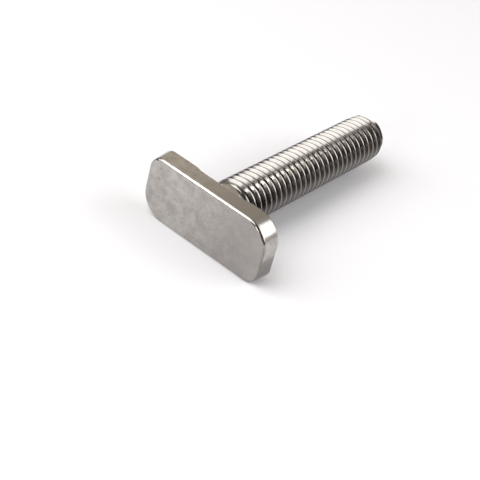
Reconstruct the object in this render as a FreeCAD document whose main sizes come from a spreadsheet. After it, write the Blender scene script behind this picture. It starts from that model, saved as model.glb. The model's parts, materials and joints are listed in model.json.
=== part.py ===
import FreeCAD, Part
import os
import Sketcher

# T slot bolt: a hammer head that drops into a T slot, turns a quarter and clamps by its thread.
# One piece: the head is forged, the thread is rolled on the shank.
# Frame: origin on the bolt's axis, in the plane of the head's bearing lands.
# +Y runs along the axis to the tip, X along the head, Z across the head.

os.makedirs("parts", exist_ok=True)
doc = FreeCAD.newDocument("TSlotBolt")

# Driving sizes, millimetres
SIZES = {
    "head_length": 22.8,
    "head_width": 10.1,
    "head_thickness": 3.6,
    "turning_corner": 4.1,
    "stopping_corner": 2.3,
    "face_edge_round": 0.5,
    "seat_edge_round": 0.4,
    "relief_margin": 0.525,
    "relief_ramp": 1.3,
    "relief_depth": 0.3,
    "relief_bend": 1.6,
    "shank_length": 39.3,
    "neck_diameter": 7.15,
    "neck_length": 2.2,
    "neck_fillet": 0.4,
    "tip_chamfer": 0.75,
    "thread_diameter": 7.9,
}

sheet = doc.addObject("Spreadsheet::Sheet", "Sizes")
for row, (name, value) in enumerate(SIZES.items(), start=1):
    sheet.set(f"A{row}", name)
    sheet.set(f"B{row}", str(value))
    sheet.setAlias(f"B{row}", name)
doc.recompute()

# Sizes that follow from the driving ones, as expressions
HALF_LENGTH = "Sizes.head_length / 2"
HALF_WIDTH = "Sizes.head_width / 2"
NECK_RADIUS = "Sizes.neck_diameter / 2"
CREST_RADIUS = "Sizes.thread_diameter / 2"
LEAD_IN = f"abs({CREST_RADIUS} - {NECK_RADIUS})"
RELIEF_FLOOR = f"({NECK_RADIUS} + Sizes.relief_margin)"
RELIEF_MOUTH = f"({RELIEF_FLOOR} + Sizes.relief_ramp)"


def size(name):
    """The sheet's value of one driving size."""
    return float(sheet.get(name))


def origin_plane(body, role):
    """One of the body's own base planes."""
    return next(item for item in body.Origin.OriginFeatures if item.Role == role)


def outline(body, name, role, corners):
    """Closed straight-sided sketch whose corners are pairs of expressions."""
    sketch = body.newObject("Sketcher::SketchObject", name)
    sketch.AttachmentSupport = [(origin_plane(body, role), "")]
    sketch.MapMode = "FlatFace"
    points = []
    for across, along in corners:
        x = float(sketch.evalExpression(across))
        y = float(sketch.evalExpression(along))
        points.append(FreeCAD.Vector(x, y, 0))
    count = len(points)
    for index, start in enumerate(points):
        end = points[(index + 1) % count]
        sketch.addGeometry(Part.LineSegment(start, end), False)
    for index in range(count):
        following = (index + 1) % count
        sketch.addConstraint(Sketcher.Constraint("Coincident", index, 2, following, 1))
    for index, (across, along) in enumerate(corners):
        pin(sketch, index, "DistanceX", across, points[index].x)
        pin(sketch, index, "DistanceY", along, points[index].y)
    return sketch


def pin(sketch, corner, direction, expression, value):
    """Ties one coordinate of a corner to an expression, or to the sketch's axis."""
    if expression == "0":
        axis = -2 if direction == "DistanceX" else -1
        sketch.addConstraint(Sketcher.Constraint("PointOnObject", corner, 1, axis))
        return
    rule = Sketcher.Constraint(direction, -1, 1, corner, 1, value)
    place = sketch.addConstraint(rule)
    sketch.renameConstraint(place, f"{direction}{corner}")
    sketch.setExpression(f"Constraints.{direction}{corner}", expression)


def bind(feature, **bindings):
    """Binds a feature's properties to expressions."""
    for name, expression in bindings.items():
        feature.setExpression(name, expression)


def round_edges(body, name, wanted, radius):
    """Rounds the edges of the body that the test wants."""
    doc.recompute()
    base = body.Tip
    picked = [f"Edge{i}" for i, edge in enumerate(base.Shape.Edges, start=1) if wanted(edge)]
    rounding = body.newObject("PartDesign::Fillet", name)
    rounding.Base = (base, picked)
    rounding.setExpression("Radius", radius)
    return rounding


def corner_edges(sign):
    """The head's two upright corner edges on one diagonal."""
    def wanted(edge):
        centre = edge.CenterOfMass
        at_end = abs(abs(centre.x) - size("head_length") / 2) < 1e-4
        at_side = abs(abs(centre.z) - size("head_width") / 2) < 1e-4
        return at_end and at_side and centre.x * centre.z * sign > 0
    return wanted


def rim_edges(level):
    """The edges of the head's rim that lie at one height along the axis."""
    def wanted(edge):
        return abs(edge.BoundBox.YMin - level) < 1e-4 and abs(edge.BoundBox.YMax - level) < 1e-4
    return wanted


def near_seat(edge):
    """Whether an edge lies on the underside, lands, ramps and relief."""
    return edge.BoundBox.YMin > -size("relief_depth") - 1e-4


def relief_bends(edge):
    """The four edges across the underside where the ramps begin and end."""
    across_head = edge.BoundBox.XLength < 1e-4 and abs(edge.CenterOfMass.z) < 1e-4
    at_end = abs(edge.CenterOfMass.x) > size("head_length") / 2 - 1e-4
    return near_seat(edge) and across_head and not at_end


def seat_rim(edge):
    """The outer rim of the underside."""
    return near_seat(edge) and not relief_bends(edge)


def forge_head(body):
    """The flat head, its two kinds of corner, its rounded rims and the relief round the neck."""
    corners = [
        (f"-{HALF_LENGTH}", f"-{HALF_WIDTH}"),
        (HALF_LENGTH, f"-{HALF_WIDTH}"),
        (HALF_LENGTH, HALF_WIDTH),
        (f"-{HALF_LENGTH}", HALF_WIDTH),
    ]
    head = body.newObject("PartDesign::Pad", "Head")
    head.Profile = outline(body, "HeadOutline", "XZ_Plane", corners)
    bind(head, Length="Sizes.head_thickness")
    # The generous corners let the head swing round in the slot, the tight ones stop it crosswise
    round_edges(body, "TurningCorners", corner_edges(+1), "Sizes.turning_corner")
    round_edges(body, "StoppingCorners", corner_edges(-1), "Sizes.stopping_corner")
    round_edges(body, "FaceRim", rim_edges(-size("head_thickness")), "Sizes.face_edge_round")
    section = [
        (f"-{RELIEF_MOUTH}", "0"),
        (f"-{RELIEF_FLOOR}", "-Sizes.relief_depth"),
        (RELIEF_FLOOR, "-Sizes.relief_depth"),
        (RELIEF_MOUTH, "0"),
    ]
    relief = body.newObject("PartDesign::Pocket", "NeckRelief")
    relief.Profile = outline(body, "ReliefSection", "XY_Plane", section)
    relief.Midplane = True
    bind(relief, Length="Sizes.head_width * 2")
    round_edges(body, "ReliefBends", relief_bends, "Sizes.relief_bend")
    # The rounding follows the relief down its ramps
    round_edges(body, "SeatRim", seat_rim, "Sizes.seat_edge_round")


def turn_shank(body):
    """Plain neck, cone up to the thread, threaded length and chamfered tip, turned in one."""
    # The threaded length is modelled as a plain cylinder of the thread's outside diameter
    inside = "-Sizes.head_thickness / 2"
    profile = [
        ("0", inside),
        (NECK_RADIUS, inside),
        (NECK_RADIUS, "Sizes.neck_length"),
        (CREST_RADIUS, f"Sizes.neck_length + {LEAD_IN}"),
        (CREST_RADIUS, "Sizes.shank_length - Sizes.tip_chamfer"),
        (f"{CREST_RADIUS} - Sizes.tip_chamfer", "Sizes.shank_length"),
        ("0", "Sizes.shank_length"),
    ]
    sketch = outline(body, "ShankProfile", "XY_Plane", profile)
    shank = body.newObject("PartDesign::Revolution", "Shank")
    shank.Profile = sketch
    shank.ReferenceAxis = (sketch, ["V_Axis"])
    shank.Angle = 360
    floor_level = -size("relief_depth")

    def neck_foot(edge):
        centre = edge.CenterOfMass
        on_axis = abs(centre.x) < 1e-4 and abs(centre.z) < 1e-4
        return on_axis and rim_edges(floor_level)(edge)
    round_edges(body, "NeckFillet", neck_foot, "Sizes.neck_fillet")


def make_bolt():
    """The whole bolt as one body."""
    body = doc.addObject("PartDesign::Body", "t_slot_bolt")
    body.Label = "t_slot_bolt"
    body.Placement = FreeCAD.Placement()
    forge_head(body)
    turn_shank(body)
    return body


bolt = make_bolt()
doc.recompute()

for item in doc.Objects:
    if "Invalid" in item.State or "Error" in item.State:
        raise RuntimeError(f"{item.Label} failed: {item.State}")
if bolt.Shape.isNull() or not bolt.Shape.isValid() or len(bolt.Shape.Solids) != 1:
    raise RuntimeError("the bolt is not one valid solid")

bolt.Shape.exportStep(os.path.join("parts", bolt.Label + ".step"))
print("bolt volume", round(bolt.Shape.Volume, 1), "mm3")
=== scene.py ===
import json
import math
import bmesh
import bpy
from mathutils import Euler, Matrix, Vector
from mathutils.geometry import delaunay_2d_cdt


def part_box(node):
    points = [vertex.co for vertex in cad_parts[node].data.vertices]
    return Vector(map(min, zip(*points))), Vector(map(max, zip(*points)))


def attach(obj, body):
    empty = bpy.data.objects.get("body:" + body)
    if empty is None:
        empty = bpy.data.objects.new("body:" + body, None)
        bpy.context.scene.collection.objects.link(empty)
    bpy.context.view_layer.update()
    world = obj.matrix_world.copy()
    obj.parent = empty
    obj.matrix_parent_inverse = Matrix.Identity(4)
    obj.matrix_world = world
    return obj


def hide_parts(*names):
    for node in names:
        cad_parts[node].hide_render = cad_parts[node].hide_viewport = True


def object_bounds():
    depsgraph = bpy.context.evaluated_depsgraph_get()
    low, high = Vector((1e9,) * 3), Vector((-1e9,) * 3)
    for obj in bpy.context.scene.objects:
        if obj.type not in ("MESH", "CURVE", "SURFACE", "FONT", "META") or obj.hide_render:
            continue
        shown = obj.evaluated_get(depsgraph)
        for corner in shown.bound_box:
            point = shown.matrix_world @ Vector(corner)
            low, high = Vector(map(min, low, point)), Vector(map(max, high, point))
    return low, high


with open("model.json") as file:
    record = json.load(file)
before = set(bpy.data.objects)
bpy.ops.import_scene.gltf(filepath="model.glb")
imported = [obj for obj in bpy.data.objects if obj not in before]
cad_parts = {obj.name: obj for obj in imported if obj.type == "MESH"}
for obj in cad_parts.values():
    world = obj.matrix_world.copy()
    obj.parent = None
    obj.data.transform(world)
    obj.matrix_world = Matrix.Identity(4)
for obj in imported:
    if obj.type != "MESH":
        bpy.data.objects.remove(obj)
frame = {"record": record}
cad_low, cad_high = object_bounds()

# The hammer head
# Forged from stainless bar in one blow with the shank, then tumbled bright. Two corners are
# generous so that the head swings round in its slot, two are tight and stop it crosswise.
MM = 0.001
head_low, bolt_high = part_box("t_slot_bolt")
mounts = {mount["name"]: mount for mount in frame["record"]["mounts"]}
HALF_LENGTH = bolt_high.x
HALF_WIDTH = bolt_high.z
HEAD_THICKNESS = -head_low.y
SHANK_LENGTH = bolt_high.y
TURNING_CORNER = 4.1 * MM
STOPPING_CORNER = 2.3 * MM
STOPPING_CORNER_BACK = 1.7 * MM
FACE_ROUND = 0.5 * MM
SEAT_ROUND = 0.4 * MM
RELIEF_FLOOR = 4.1 * MM
RELIEF_MOUTH = 5.4 * MM
RELIEF_DEPTH = 0.3 * MM
RELIEF_BEND = 0.18 * MM
CORNER_STEPS = 20
ROUND_STEPS = 8
BEND_SHARES = (-0.65, -0.1, 0.45, 1)
# The rim has points on both sides of each crease of the relief, so that it bends softly
bend_stops = [crease + RELIEF_BEND * share
              for crease in (RELIEF_FLOOR, RELIEF_MOUTH) for share in BEND_SHARES]
RELIEF_STOPS = [-stop for stop in reversed(bend_stops)] + bend_stops


def head_outline(stopping_corner):
    """Places and outward directions round the head's rim, seen from the shank side."""
    corners = [
        (1, 1, TURNING_CORNER, 0),
        (-1, 1, stopping_corner, 90),
        (-1, -1, TURNING_CORNER, 180),
        (1, -1, stopping_corner, 270),
    ]
    rim = []
    for side_x, side_z, radius, first_angle in corners:
        centre = Vector((side_x * (HALF_LENGTH - radius), side_z * (HALF_WIDTH - radius)))
        for step in range(CORNER_STEPS + 1):
            angle = math.radians(first_angle + 90 * step / CORNER_STEPS)
            outward = Vector((math.cos(angle), math.sin(angle)))
            rim.append((centre + outward * radius, outward))
        long_side_follows = side_x == side_z
        if long_side_follows:
            for stop in reversed(RELIEF_STOPS):
                rim.append((Vector((side_x * stop, side_z * HALF_WIDTH)), Vector((0, side_z))))
    return rim


def seat_level(x):
    """Height of the underside along the axis: lands at zero, soft ramps, relief below them."""
    def bent(run):
        if run >= RELIEF_BEND:
            return run
        return max(run + RELIEF_BEND, 0) ** 2 / (4 * RELIEF_BEND)
    run = bent(abs(x) - RELIEF_FLOOR) - bent(abs(x) - RELIEF_MOUTH)
    return RELIEF_DEPTH * (run / (RELIEF_MOUTH - RELIEF_FLOOR) - 1)


def rounded_rim_rows():
    """Outline, inset and level of each row down the head's edge; the last rows follow the seat."""
    # The dies leave the tight corners fuller toward the seat
    face_outline = head_outline(STOPPING_CORNER)
    seat_outline = head_outline(STOPPING_CORNER_BACK)
    rows = []
    for step in range(ROUND_STEPS + 1):
        angle = math.pi / 2 * (1 - step / ROUND_STEPS)
        inset = FACE_ROUND * (1 - math.cos(angle))
        level = -HEAD_THICKNESS + FACE_ROUND * (1 - math.sin(angle))
        rows.append((face_outline, inset, lambda x, flat=level: flat))
    for step in range(ROUND_STEPS + 1):
        angle = math.pi / 2 * step / ROUND_STEPS
        inset = SEAT_ROUND * (1 - math.cos(angle))
        drop = SEAT_ROUND * (1 - math.sin(angle))
        rows.append((seat_outline, inset, lambda x, below=drop: seat_level(x) - below))
    return rows


bolt_mesh = bmesh.new()


def join_rings(lower, upper):
    """Quads between two rings of the same count."""
    count = len(lower)
    for index in range(count):
        after = (index + 1) % count
        bolt_mesh.faces.new((lower[index], lower[after], upper[after], upper[index]))


head_rings = []
for outline, inset, level in rounded_rim_rows():
    ring = []
    for place, outward in outline:
        point = place - outward * inset
        ring.append(bolt_mesh.verts.new((point.x, level(place.x), point.y)))
    head_rings.append(ring)
for lower, upper in zip(head_rings, head_rings[1:]):
    join_rings(lower, upper)
bolt_mesh.faces.new(head_rings[0])

# The neck and the rolled thread
# The shank is turned to the pitch diameter and the thread is rolled on it, so the crests grow
# out of the neck and the roots sink. The tip is chamfered first, so the last crests stay low.
CREST_RADIUS = mounts["thread"]["dims"]["r_mm"] * MM
NECK_RADIUS = 3.575 * MM
NECK_FILLET = 0.4 * MM
THREAD_START = 2.0 * MM
THREAD_FADE = 1.3 * MM
PITCH = 1.25 * MM
FIRST_CREST = 1.44 * MM
ROOT_DEPTH = 0.69 * MM
CREST_ROUND = 0.05 * MM
ROOT_ROUND = 0.15 * MM
ROOT_FLAT = 0.02 * MM
TIP_CHAMFER = 0.75 * MM
TIP_LEAD = 3.0 * MM
TIP_DROP = 0.21 * MM
FLANK = math.radians(60)
CREST_STEPS = 3
ROOT_STEPS = 4
FILLET_STEPS = 6
TURNS_BELOW = 2
AROUND = 96


def thread_profile():
    """Half of one pitch as pairs of distance from the crest's middle and depth below it."""
    bends = (CREST_ROUND + ROOT_ROUND) * math.sin(FLANK)
    drop = ROOT_DEPTH - (CREST_ROUND + ROOT_ROUND) * (1 - math.cos(FLANK))
    crest_flat = PITCH / 2 - ROOT_FLAT - bends - drop / math.tan(FLANK)
    points = [(0.0, 0.0)]
    for step in range(CREST_STEPS + 1):
        angle = FLANK * step / CREST_STEPS
        across = crest_flat + CREST_ROUND * math.sin(angle)
        points.append((across, CREST_ROUND * (1 - math.cos(angle))))
    for step in range(ROOT_STEPS + 1):
        angle = FLANK * (1 - step / ROOT_STEPS)
        across = PITCH / 2 - ROOT_FLAT - ROOT_ROUND * math.sin(angle)
        points.append((across, ROOT_DEPTH - ROOT_ROUND * (1 - math.cos(angle))))
    return points


def clamp(value):
    """Value held between 0 and 1."""
    return min(max(value, 0), 1)


def thread_radius(depth, level):
    """Radius at a depth below the crest, where the thread fades in and the tip tapers."""
    growth = clamp((level - THREAD_START) / THREAD_FADE)
    growth = growth * growth * (3 - 2 * growth)
    lead = clamp((level - SHANK_LENGTH + TIP_CHAMFER) / TIP_LEAD + 1)
    rolled = CREST_RADIUS - max(depth, TIP_DROP * lead * lead)
    radius = NECK_RADIUS + (rolled - NECK_RADIUS) * growth
    taper = CREST_RADIUS - TIP_CHAMFER + (SHANK_LENGTH - level)
    return min(radius, taper)


def shank_point(radius, level, column):
    """New point on the shank, at a column's angle round the axis."""
    angle = 2 * math.pi * column / AROUND
    return bolt_mesh.verts.new((radius * math.sin(angle), level, radius * math.cos(angle)))


def shank_ring(radius, level):
    """Ring of points round the bolt's axis."""
    return [shank_point(radius, level, column) for column in range(AROUND)]


def patch(corners):
    """One face through the corners that differ."""
    different = [v for index, v in enumerate(corners) if v is not corners[index - 1]]
    if len(set(different)) > 2:
        bolt_mesh.faces.new(different)


half_pitch = thread_profile()
whole_pitch = half_pitch + [(PITCH - across, depth) for across, depth in reversed(half_pitch[1:])]
per_turn = len(whole_pitch)
turns = math.ceil((SHANK_LENGTH - FIRST_CREST) / PITCH) + 1
neck_ring = shank_ring(NECK_RADIUS, THREAD_START)
tip_ring = shank_ring(CREST_RADIUS - TIP_CHAMFER, SHANK_LENGTH)
thread_rows = []
for turn in range(-TURNS_BELOW, turns):
    for across, depth in whole_pitch:
        row = []
        for column in range(AROUND):
            level = FIRST_CREST + turn * PITCH + across + PITCH * column / AROUND
            if level <= THREAD_START:
                row.append(neck_ring[column])
            elif level >= SHANK_LENGTH:
                row.append(tip_ring[column])
            else:
                row.append(shank_point(thread_radius(depth, level), level, column))
        thread_rows.append(row)
for index in range(len(thread_rows) - 1 - per_turn):
    here, above = thread_rows[index], thread_rows[index + 1]
    for column in range(AROUND - 1):
        patch((here[column], here[column + 1], above[column + 1], above[column]))
    here_after = thread_rows[index + per_turn][0]
    above_after = thread_rows[index + per_turn + 1][0]
    patch((here[-1], here_after, above_after, above[-1]))
bolt_mesh.faces.new(tip_ring)

neck_rings = []
for step in range(FILLET_STEPS + 1):
    angle = math.pi / 2 * step / FILLET_STEPS
    radius = NECK_RADIUS + NECK_FILLET * (1 - math.sin(angle))
    neck_rings.append(shank_ring(radius, -RELIEF_DEPTH + NECK_FILLET * (1 - math.cos(angle))))
neck_rings.append(neck_ring)
for lower, upper in zip(neck_rings, neck_rings[1:]):
    join_rings(lower, upper)

# The underside of the head
# Two bearing lands press on the slot's lips. Between them a shallow relief keeps the neck's
# fillet clear of the lips.
SAME_PLACE = 0.001 * MM
MERGE_WITHIN = 1e-9
SHARP_ANGLE = math.radians(32)
under_points = head_rings[-1] + neck_rings[0]
flat_points = [Vector((v.co.x, v.co.z)) for v in under_points]
outer_count = len(head_rings[-1])
inner_count = len(neck_rings[0])
borders = [(i, (i + 1) % outer_count) for i in range(outer_count)]
borders += [(outer_count + i, outer_count + (i + 1) % inner_count) for i in range(inner_count)]
for stop in RELIEF_STOPS:
    pair = [i for i in range(outer_count) if abs(flat_points[i].x - stop) < SAME_PLACE]
    borders.append((pair[0], pair[-1]))
triangles = delaunay_2d_cdt(flat_points, borders, [], 0, MERGE_WITHIN)[2]
for triangle in triangles:
    middle = sum((flat_points[i] for i in triangle), Vector((0, 0))) / 3
    if middle.length > NECK_RADIUS + NECK_FILLET:
        bolt_mesh.faces.new([under_points[i] for i in triangle])

bmesh.ops.recalc_face_normals(bolt_mesh, faces=bolt_mesh.faces)
finished_mesh = bpy.data.meshes.new("stainless_bolt")
bolt_mesh.to_mesh(finished_mesh)
bolt_mesh.free()
finished_mesh.shade_smooth()
finished_mesh.set_sharp_from_angle(angle=SHARP_ANGLE)
bolt = bpy.data.objects.new("stainless_bolt", finished_mesh)
bpy.context.scene.collection.objects.link(bolt)
flats = bolt.modifiers.new("flats_stay_flat", "WEIGHTED_NORMAL")
flats.keep_sharp = True
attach(bolt, "root")
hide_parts("t_slot_bolt")

# The stainless skin
# Bare steel, left satin by tumbling, with soft clouds, dents, hairlines, and nicks on the rim
# painted dark where they break its highlight. Painted shade darkens one end of the head, its end
# wall and the thread's lower side, and the thread darkens from its bright crests toward the roots.
CREST_STEEL = (0.537, 0.511, 0.483, 1)
CLOUD_STEEL = (0.373, 0.352, 0.333, 1)
HAIRLINE_STEEL = (0.60, 0.57, 0.54, 1)
PIT_STEEL = (0.26, 0.24, 0.225, 1)
# Painted shade: the head darkens toward one end, standing in for a dark reflection there
END_SHADE_STEEL = (0.31, 0.29, 0.276, 1)
# Painted shade on the end wall, along its rim and on the thread's lower side
SHADED_STEEL = (0.165, 0.15, 0.14, 1)
# Nicks are real wear, painted dark where they break the rim's highlight
NICK_SHADE = (0.05, 0.044, 0.04, 1)
# Thread flanks: the lit colour on the upper side and painted shade on the lower side, then darker
# toward the valleys
FLANK_BRIGHT = (0.315, 0.304, 0.288, 1)
FLANK_SHADE = (0.038, 0.031, 0.027, 1)
VALLEY_DARK = (0.045, 0.036, 0.030, 1)


def wired_node(tree, kind, values=None, wires=None, **settings):
    """Shader node with its settings, its constants and the outputs wired to its sockets."""
    node = tree.nodes.new(kind)
    for name, value in settings.items():
        setattr(node, name, value)
    for socket, value in (values or {}).items():
        node.inputs[socket].default_value = value
    for socket, output in (wires or {}).items():
        tree.links.new(output, node.inputs[socket])
    return node


def ramp(tree, value, low, high, start=0.0, end=1.0):
    """Smooth step of a value from one level to another."""
    limits = {"From Min": low, "From Max": high, "To Min": start, "To Max": end}
    step = wired_node(tree, "ShaderNodeMapRange", limits, {"Value": value},
                      interpolation_type="SMOOTHSTEP")
    return step.outputs["Result"]


def blend(tree, factor, first, second):
    """Mix of two colours, each a constant or an output."""
    mix = wired_node(tree, "ShaderNodeMix", wires={"Factor": factor}, data_type="RGBA")
    for socket, colour in (("A", first), ("B", second)):
        target = next(s for s in mix.inputs if s.name == socket and s.type == "RGBA")
        if isinstance(colour, tuple):
            target.default_value = colour
        else:
            tree.links.new(colour, target)
    return next(s for s in mix.outputs if s.type == "RGBA")


def reckon(tree, operation, first, second):
    """Arithmetic on an output and a number or a second output."""
    node = wired_node(tree, "ShaderNodeMath", wires={0: first}, operation=operation)
    if isinstance(second, (int, float)):
        node.inputs[1].default_value = second
    else:
        tree.links.new(second, node.inputs[1])
    return node.outputs[0]


def effect(name, inputs, outputs):
    """Node group with named inputs and outputs, and its two end nodes."""
    tree = bpy.data.node_groups.new(name, "ShaderNodeTree")
    for socket, kind in inputs.items():
        tree.interface.new_socket(socket, in_out="INPUT", socket_type=kind)
    for socket, kind in outputs.items():
        tree.interface.new_socket(socket, in_out="OUTPUT", socket_type=kind)
    return tree, tree.nodes.new("NodeGroupInput"), tree.nodes.new("NodeGroupOutput")


TIP_EDGE = SHANK_LENGTH - TIP_CHAMFER
FACE = -HEAD_THICKNESS
RIM_MIDDLE = FACE + FACE_ROUND / 2
RIM_END = FACE + FACE_ROUND
# A zone of the skin is a product of smooth steps. Each step says along which of the bolt's
# directions it runs, between which places, and its values at the two.
ROLLED = (
    ("Y", THREAD_START, THREAD_START + THREAD_FADE, 0.0, 1.0),
    ("Y", TIP_EDGE - 0.1 * MM, TIP_EDGE + 0.2 * MM, 1.0, 0.0),
)
SHANK = (("Y", 0.0, 0.5 * MM, 0.0, 1.0),)
# Painted shade on the thread's lower side, eased toward the very bottom
LOWER_SIDES = (("Z", 0.33 * CREST_RADIUS, 0.83 * CREST_RADIUS, 1.0, 0.0),)
LESS_SHADE_BELOW = (("Z", -0.25 * CREST_RADIUS, 0.3 * CREST_RADIUS, 0.6, 0.0),)
# Painted shade toward one end of the head and along its upper side, spared on the end's corner so
# that its highlight stays
SHADED_TOWARD_END = (("X", -5.5 * MM, 8.5 * MM, 0.0, 1.0),)
END_CORNER_SPARED = (
    ("Y", FACE, RIM_END, 0.0, 1.0),
    ("X", 8.2 * MM, 9.6 * MM, 0.0, 1.0),
)
SHADED_UPPER_SIDE = (
    ("X", -9 * MM, 1 * MM, 0.0, 0.6),
    ("Y", RIM_MIDDLE, RIM_END, 0.0, 1.0),
    ("Z", HALF_WIDTH - 0.2 * MM, HALF_WIDTH - 0.05 * MM, 0.0, 1.0),
)
# Painted shade on the end wall's lower part, and a painted dark reflection along the face's rim at
# that end
SHADED_END_WALL = (
    ("X", 8.6 * MM, 10.4 * MM, 0.0, 1.0),
    ("Y", -SEAT_ROUND, 0.0, 1.0, 0.0),
    ("Z", -0.9 * MM, 0.0, 1.0, 0.0),
    ("Y", FACE, RIM_MIDDLE, 0.0, 1.0),
)
SHADED_END_RIM = (
    ("X", 9.5 * MM, 10.5 * MM, 0.0, 1.0),
    ("Z", 1.0 * MM, 3.0 * MM, 1.0, 0.0),
    ("Y", FACE, RIM_MIDDLE, 0.0, 1.0),
    ("Y", RIM_MIDDLE, RIM_END, 1.0, 0.0),
)
NICKED_RIM = (
    ("Y", FACE + 0.02 * MM, FACE + 0.08 * MM, 0.0, 1.0),
    ("Y", RIM_MIDDLE, RIM_END, 1.0, 0.0),
)


def bolt_zones_effect():
    """Depth into the thread, 0 on the crest and 1 in the root, and masks of the skin's zones,
    several of them painted shade.
    """
    names = ("Depth", "Shank", "Lower Sides", "End Shade", "End Wall Shade", "Face Rim")
    tree, given, result = effect("bolt_zones", {"Position": "NodeSocketVector"},
                                 {name: "NodeSocketFloat" for name in names})
    across = wired_node(tree, "ShaderNodeVectorMath", {1: (1, 0, 1)},
                        {0: given.outputs["Position"]}, operation="MULTIPLY")
    radius = wired_node(tree, "ShaderNodeVectorMath", wires={0: across.outputs["Vector"]},
                        operation="LENGTH").outputs["Value"]
    axis = wired_node(tree, "ShaderNodeSeparateXYZ", wires={0: given.outputs["Position"]})

    def zone(steps):
        """The product of a zone's steps."""
        mask = None
        for along, low, high, start, end in steps:
            step = ramp(tree, axis.outputs[along], low, high, start, end)
            mask = step if mask is None else reckon(tree, "MULTIPLY", mask, step)
        return mask

    sunk = wired_node(tree, "ShaderNodeMapRange",
                      {"From Min": CREST_RADIUS, "From Max": CREST_RADIUS - ROOT_DEPTH},
                      {"Value": radius})
    shaded_end = reckon(tree, "SUBTRACT", zone(SHADED_TOWARD_END), zone(END_CORNER_SPARED))
    masks = {
        "Depth": reckon(tree, "MULTIPLY", sunk.outputs["Result"], zone(ROLLED)),
        "Shank": zone(SHANK),
        "Lower Sides": reckon(tree, "SUBTRACT", zone(LOWER_SIDES), zone(LESS_SHADE_BELOW)),
        "End Shade": reckon(tree, "ADD", shaded_end, zone(SHADED_UPPER_SIDE)),
        "End Wall Shade": reckon(tree, "MAXIMUM", zone(SHADED_END_WALL), zone(SHADED_END_RIM)),
        "Face Rim": zone(NICKED_RIM),
    }
    for name, mask in masks.items():
        tree.links.new(mask, result.inputs[name])
    return tree


CLOUD_SIZE = 1.6 * MM
CLOUD_NOISE = {"Detail": 5.0, "Roughness": 0.62}
CLOUD_LEVELS = (0.32, 0.68)
DENT_CELLS = {"Scale": 900.0, "Randomness": 1.0}
DENT_FLOOR = 0.05
DENT_EDGE = 0.28
# Noise of a mark: its scale and detail, the levels between which it shows, and its most
GRAIN = (2400.0, 3.0, 0.3, 0.7, 1.0)
DENTED_SPOTS = (500.0, 1.0, 0.55, 0.62, 1.0)
NICKS = (1400.0, 2.0, 0.61, 0.67, 0.7)
HAIRLINES = (1.0, 2.0, 0.66, 0.74, 1.0)
# Each set of hairlines: its turn in radians, and how closely it is drawn out and spaced
HAIRLINE_LAYS = ((0.5, 60.0, 1700.0), (-0.9, 45.0, 1500.0), (1.4, 50.0, 1300.0))
HAIRLINE_RUN = 300.0
HAIRLINE_TILT = 0.2


def speckle(tree, place, scale, detail, low, high, most):
    """Mark that shows where a noise rises from one level to another."""
    noise = wired_node(tree, "ShaderNodeTexNoise", {"Scale": scale, "Detail": detail}, place)
    return ramp(tree, noise.outputs["Fac"], low, high, 0.0, most)


def tumbled_effect():
    """Soft clouds, grain, small dents, nicks and hairlines left by the tumbling drum."""
    tree, given, result = effect(
        "tumbled_skin",
        {"Position": "NodeSocketVector", "Cloud Size": "NodeSocketFloat"},
        {mark: "NodeSocketFloat" for mark in ("Cloud", "Grain", "Dent", "Nick", "Scratch")},
    )
    scale = wired_node(tree, "ShaderNodeMath", {0: 1.0}, {1: given.outputs["Cloud Size"]},
                       operation="DIVIDE").outputs[0]
    place = {"Vector": given.outputs["Position"]}
    cloud = wired_node(tree, "ShaderNodeTexNoise", CLOUD_NOISE, {**place, "Scale": scale})
    dents = wired_node(tree, "ShaderNodeTexVoronoi", DENT_CELLS, place)
    hollow = ramp(tree, dents.outputs["Distance"], DENT_FLOOR, DENT_EDGE, 1.0, 0.0)
    seldom = speckle(tree, place, *DENTED_SPOTS)
    hairlines = None
    for turn, stretch, spread in HAIRLINE_LAYS:
        lay = wired_node(tree, "ShaderNodeMapping",
                         {"Rotation": (0.0, turn, HAIRLINE_TILT),
                          "Scale": (stretch, HAIRLINE_RUN, spread)},
                         place, vector_type="POINT")
        line = speckle(tree, {"Vector": lay.outputs["Vector"]}, *HAIRLINES)
        hairlines = line if hairlines is None else reckon(tree, "MAXIMUM", hairlines, line)
    marks = {
        "Cloud": ramp(tree, cloud.outputs["Fac"], *CLOUD_LEVELS),
        "Grain": speckle(tree, place, *GRAIN),
        "Dent": reckon(tree, "MULTIPLY", hollow, seldom),
        "Nick": speckle(tree, place, *NICKS),
        "Scratch": hairlines,
    }
    for name, mark in marks.items():
        tree.links.new(mark, result.inputs[name])
    return tree


# Shares of the thread's depth over which the colour falls from the crest's to the flanks' and then
# darkens toward the valley
FLANK_DEPTHS = (0.03, 0.16)
VALLEY_DEPTHS = (0.45, 0.95)
CLOUD_ROUGHNESS = 0.21
CLEAR_ROUGHNESS = 0.15
HAIRLINE_ROUGHNESS = 0.12
SHANK_ROUGHNESS = 0.02
CLOUD_SWELL = 0.35
HAIRLINE_HOLLOW = 0.25
BUMP_DEPTH = 0.02 * MM
HEAD_BUMP = 0.42
SHANK_BUMP = 0.06
steel = bpy.data.materials.new("tumbled_stainless")
steel.use_nodes = True
net = steel.node_tree
shader = net.nodes["Principled BSDF"]
shader.inputs["Metallic"].default_value = 1.0
where = wired_node(net, "ShaderNodeTexCoord").outputs["Object"]
zones = wired_node(net, "ShaderNodeGroup", wires={"Position": where},
                   node_tree=bolt_zones_effect()).outputs
marks = wired_node(net, "ShaderNodeGroup", {"Cloud Size": CLOUD_SIZE}, {"Position": where},
                   node_tree=tumbled_effect()).outputs


def part_of(value, amount):
    """A mask at less than its full strength."""
    return reckon(net, "MULTIPLY", value, amount)


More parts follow.
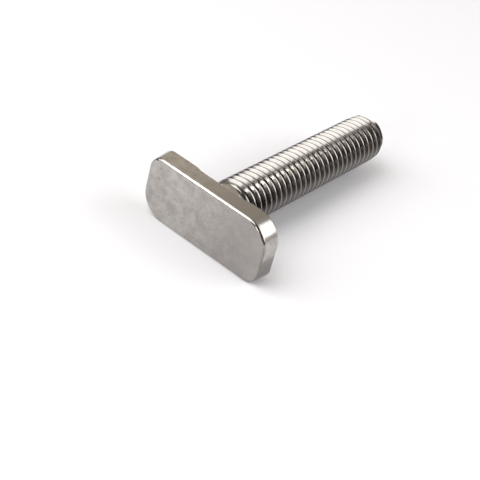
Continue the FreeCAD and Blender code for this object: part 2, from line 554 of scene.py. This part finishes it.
mottle = reckon(net, "ADD", part_of(marks["Cloud"], 0.7), part_of(marks["Grain"], 0.3))
nicks = reckon(net, "MULTIPLY", marks["Nick"], zones["Face Rim"])
shaded_underside = reckon(net, "MULTIPLY", zones["Lower Sides"], zones["Shank"])
head_steel = blend(net, mottle, CLOUD_STEEL, CREST_STEEL)
# Each mark and zone, as strong as it shows, and the steel's colour there
for mask, tint in (
    (part_of(marks["Scratch"], 0.3), HAIRLINE_STEEL),
    (part_of(marks["Dent"], 0.7), PIT_STEEL),
    # nicks on the rim, painted dark where they break its highlight
    (nicks, NICK_SHADE),
    # painted shade toward one end of the head
    (part_of(zones["End Shade"], 0.66), END_SHADE_STEEL),
    # painted shade on the end wall and its rim
    (part_of(zones["End Wall Shade"], 0.7), SHADED_STEEL),
    # painted shade on the thread's lower side
    (part_of(shaded_underside, 0.78), SHADED_STEEL),
):
    head_steel = blend(net, mask, head_steel, tint)
depth = zones["Depth"]
# The flanks take the lit colour above and painted shade on the lower side, and darken toward the
# valleys
flank_lit_and_shaded = blend(net, zones["Lower Sides"], FLANK_BRIGHT, FLANK_SHADE)
flank_and_dark_valley = blend(net, ramp(net, depth, *VALLEY_DEPTHS), flank_lit_and_shaded, VALLEY_DARK)
colour = blend(net, ramp(net, depth, *FLANK_DEPTHS), head_steel, flank_and_dark_valley)
net.links.new(colour, shader.inputs["Base Color"])

satin = ramp(net, marks["Cloud"], 0.0, 1.0, CLOUD_ROUGHNESS, CLEAR_ROUGHNESS)
rough = reckon(net, "ADD", satin, part_of(marks["Scratch"], HAIRLINE_ROUGHNESS))
rough = reckon(net, "ADD", rough, part_of(zones["Shank"], SHANK_ROUGHNESS))
net.links.new(rough, shader.inputs["Roughness"])

swell = part_of(marks["Cloud"], CLOUD_SWELL)
for hollow in (marks["Dent"], nicks, part_of(marks["Scratch"], HAIRLINE_HOLLOW)):
    swell = reckon(net, "SUBTRACT", swell, hollow)
bump_strength = ramp(net, zones["Shank"], 0.0, 1.0, HEAD_BUMP, SHANK_BUMP)
bump = wired_node(net, "ShaderNodeBump", {"Distance": BUMP_DEPTH},
                  {"Height": swell, "Strength": bump_strength})
net.links.new(bump.outputs["Normal"], shader.inputs["Normal"])
finished_mesh.materials.append(steel)

# The table and the light
# White paper, lit by a tall softbox at the front left, a window behind on the right, and a small
# lamp over a low warm screen in front. Pale walls glow behind, and the rest of the room is dim.
FLOOR_SIZE = 3.0
PAPER = (0.865, 0.868, 0.892, 1)
# Each light: degrees round from the front, degrees up, distance, width, height, strength, colour
LIGHTS = {
    "softbox": (-44, 48.5, 0.45, 0.46, 0.58, 3.1, (1.0, 0.995, 0.99)),
    "window": (122, 35, 0.5, 0.56, 0.40, 2.1, (0.98, 0.98, 1.0)),
    "lamp": (7, 21.5, 0.6, 0.08, 0.13, 12.5, (1.0, 0.96, 0.91)),
    "screen": (12, 14, 0.6, 0.20, 0.16, 1.7, (1.0, 0.83, 0.70)),
}
DIM_ROOM = (0.075, 0.068, 0.062, 1)
# Each wall: degrees round from the front, degrees up, cosine at its edge, colour
WALLS = (
    (-145, 34, 0.6, (0.72, 0.655, 0.56, 1)),
    (143, 24, 0.74, (0.76, 0.735, 0.70, 1)),
)
floor_mesh = bpy.data.meshes.new("white_table")
half = FLOOR_SIZE / 2
level = cad_low.z
corners = [(-half, -half, level), (half, -half, level), (half, half, level), (-half, half, level)]
floor_mesh.from_pydata(corners, [], [(0, 1, 2, 3)])
table = bpy.data.objects.new("white_table", floor_mesh)
bpy.context.scene.collection.objects.link(table)
paper = bpy.data.materials.new("white_paper")
paper.use_nodes = True
paper_shader = paper.node_tree.nodes["Principled BSDF"]
paper_shader.inputs["Base Color"].default_value = PAPER
paper_shader.inputs["Roughness"].default_value = 0.9
paper_shader.inputs["Specular IOR Level"].default_value = 0.1
floor_mesh.materials.append(paper)


def direction(turn, rise):
    """Unit vector at degrees round from the front toward the right and degrees up."""
    turn, rise = math.radians(turn), math.radians(rise)
    across = math.cos(rise)
    return Vector((math.sin(turn) * across, -math.cos(turn) * across, math.sin(rise)))


def soft_light(name, toward, distance, width, height, strength, colour):
    """Rectangular light that faces the bolt."""
    data = bpy.data.lights.new(name, "AREA")
    data.shape = "RECTANGLE"
    data.size = width
    data.size_y = height
    data.energy = strength * math.pi * width * height
    data.color = colour
    light = bpy.data.objects.new(name, data)
    light.location = toward * distance
    light.rotation_mode = "QUATERNION"
    light.rotation_quaternion = toward.to_track_quat("Z", "Y")
    bpy.context.scene.collection.objects.link(light)


for name, (turn, rise, distance, width, height, strength, colour) in LIGHTS.items():
    soft_light(name, direction(turn, rise), distance, width, height, strength, colour)

world = bpy.data.worlds.new("dim_room")
bpy.context.scene.world = world
world.use_nodes = True
sky = world.node_tree
compass = wired_node(sky, "ShaderNodeTexCoord").outputs["Generated"]
room = DIM_ROOM
for turn, rise, edge, colour in WALLS:
    facing = wired_node(sky, "ShaderNodeVectorMath", {1: direction(turn, rise)}, {0: compass},
                        operation="DOT_PRODUCT").outputs["Value"]
    room = blend(sky, ramp(sky, facing, edge, 1.0), room, colour)
sky.links.new(room, sky.nodes["Background"].inputs["Color"])
bpy.context.scene.view_settings.view_transform = "Standard"

# The camera
# Placed as the photograph was taken: above the outer face and to its right, looking down along
# the shank, with the frame turned a little.
CAMERA_PLACE = Vector((83.96, -133.73, 108.54)) * MM
CAMERA_AIM = Vector((4.78, 0.3, -2.26)) * MM
CAMERA_ROLL = math.radians(15.73)
LENS = 97.5
SENSOR_WIDTH = 36
NEAREST = 0.01
camera_data = bpy.data.cameras.new("camera")
camera_data.lens = LENS
camera_data.sensor_width = SENSOR_WIDTH
camera_data.clip_start = NEAREST
camera = bpy.data.objects.new("camera", camera_data)
camera.location = CAMERA_PLACE
sight = (CAMERA_AIM - CAMERA_PLACE).to_track_quat("-Z", "Y")
camera.rotation_mode = "QUATERNION"
camera.rotation_quaternion = sight @ Euler((0, 0, CAMERA_ROLL)).to_quaternion()
bpy.context.scene.collection.objects.link(camera)
bpy.context.scene.camera = camera
